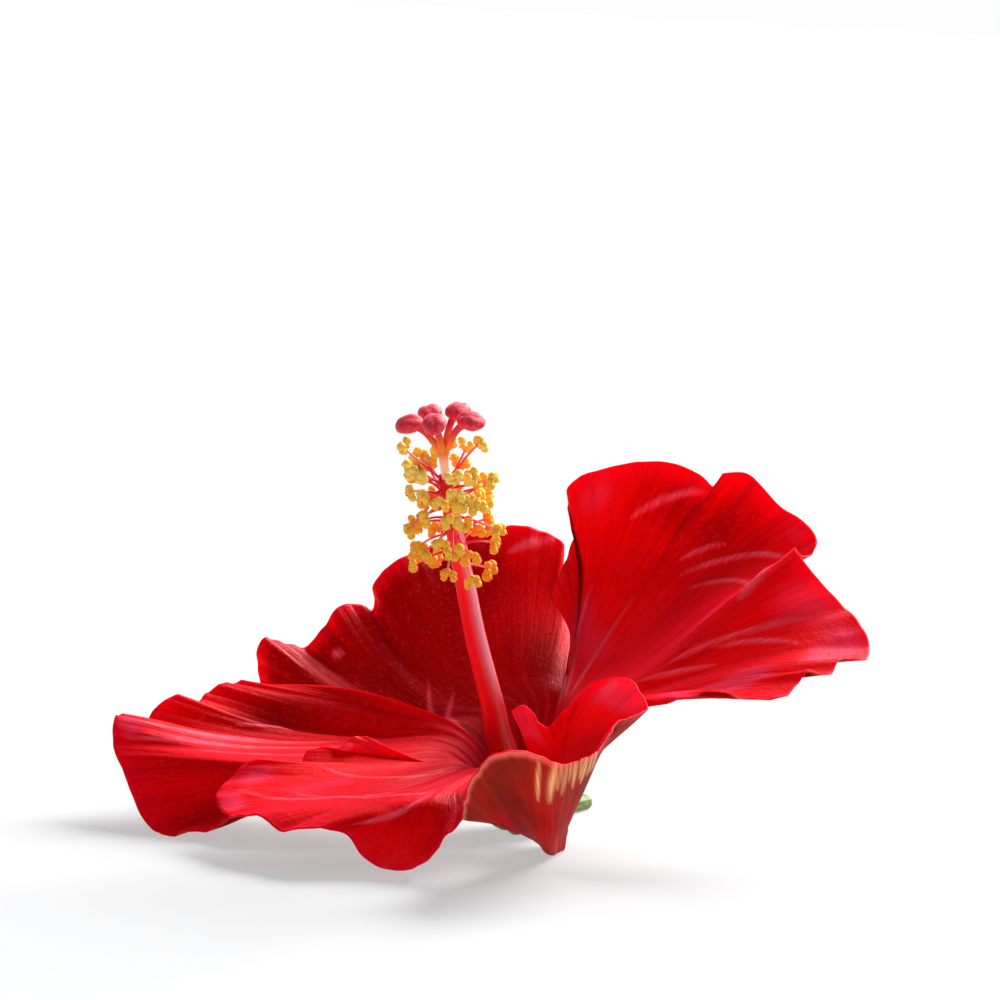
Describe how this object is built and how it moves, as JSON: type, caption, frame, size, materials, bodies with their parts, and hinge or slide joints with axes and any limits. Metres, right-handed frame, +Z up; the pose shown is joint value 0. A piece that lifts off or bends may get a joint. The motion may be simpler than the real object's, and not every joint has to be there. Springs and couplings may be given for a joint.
{
  "type": "hibiscus flower",
  "caption": "Picked hibiscus bloom lying face up: broad waved petals around a long slender column that carries anthers and a branched stigma.",
  "frame": {"origin": "on the floor, under the middle of the bloom as it lies face up", "axes": "+X to the right of the bloom's front, towards its tallest petal; -Y to the front, where the column leans; +Z up"},
  "size_m": [0.129, 0.0938, 0.0774],
  "materials": {
    "petal": "satin",
    "column": "satin",
    "pistil": "matte",
    "calyx": "matte",
    "stalk": "matte"
  },
  "bodies": {
    "root": {"petal_right": "petal", "petal_back": "petal", "petal_left": "petal", "petal_front_left": "petal", "petal_front_right": "petal", "staminal_column": "column", "pistil": "pistil", "calyx": "calyx", "pedicel": "stalk"}
  },
  "joints": []
}
